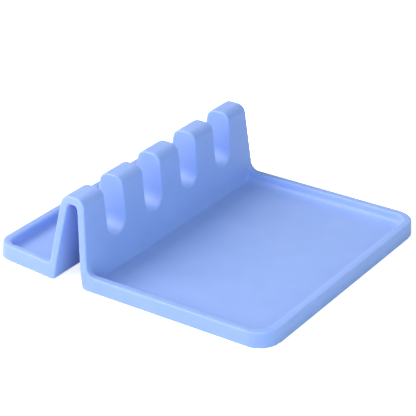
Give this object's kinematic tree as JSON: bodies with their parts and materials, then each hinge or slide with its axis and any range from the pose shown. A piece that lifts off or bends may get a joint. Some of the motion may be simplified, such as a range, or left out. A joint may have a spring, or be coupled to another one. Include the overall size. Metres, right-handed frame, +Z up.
{
  "type": "spoon rest",
  "caption": "Flexible spoon rest: a wide rimmed drip tray, a hollow upright ridge with round-bottomed slots for handles, and a small rear tray.",
  "frame": {"origin": "on the table under the middle of the outline", "axes": "+X along the ridge, +Y from the front tray to the rear tray, +Z up"},
  "size_m": [0.19, 0.21, 0.0597],
  "materials": {
    "silicone": "satin light blue silicone"
  },
  "bodies": {
    "root": {"drip_tray": "silicone", "slotted_ridge": "silicone", "rear_tray": "silicone"}
  },
  "joints": []
}
